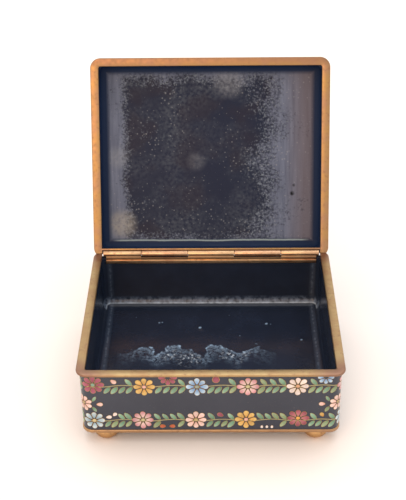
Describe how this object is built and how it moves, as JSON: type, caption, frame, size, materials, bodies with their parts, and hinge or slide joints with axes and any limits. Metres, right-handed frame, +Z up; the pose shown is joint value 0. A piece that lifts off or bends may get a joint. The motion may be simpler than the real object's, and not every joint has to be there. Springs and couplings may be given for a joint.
{
  "type": "cloisonne enamel box",
  "caption": "Rectangular hinged box in black cloisonne enamel with floral garlands, plain brass rims, a knuckle hinge along the back and low bun feet.",
  "frame": {"origin": "on the table under the feet, at the middle of the plan of the whole box with its lid open", "axes": "+Z up, +Y towards the hinge and the open lid that leans back, +X to the right seen from the front; the body's own middle is 22.1 mm in front of the origin"},
  "size_m": [0.115, 0.1412, 0.1257],
  "materials": {
    "black_enamel": "gloss",
    "rim_brass": "satin",
    "foot_brass": "satin",
    "hinge_brass": "satin"
  },
  "bodies": {
    "box": {"body_shell": "black_enamel", "body_rim": "rim_brass", "base_band": "rim_brass", "foot_front_left": "foot_brass", "foot_front_right": "foot_brass", "foot_back_left": "foot_brass", "foot_back_right": "foot_brass", "hinge_body_leaf": "hinge_brass", "hinge_pin": "hinge_brass"},
    "lid": {"lid_shell": "black_enamel", "lid_rim": "rim_brass", "hinge_lid_leaf": "hinge_brass"}
  },
  "joints": [
    {"name": "lid_hinge", "type": "hinge", "parent": "box", "child": "lid", "pos_m": [0, 0.02416, 0.03878], "axis": [1, 0, 0], "range_deg": [0, 113.2]}
  ]
}
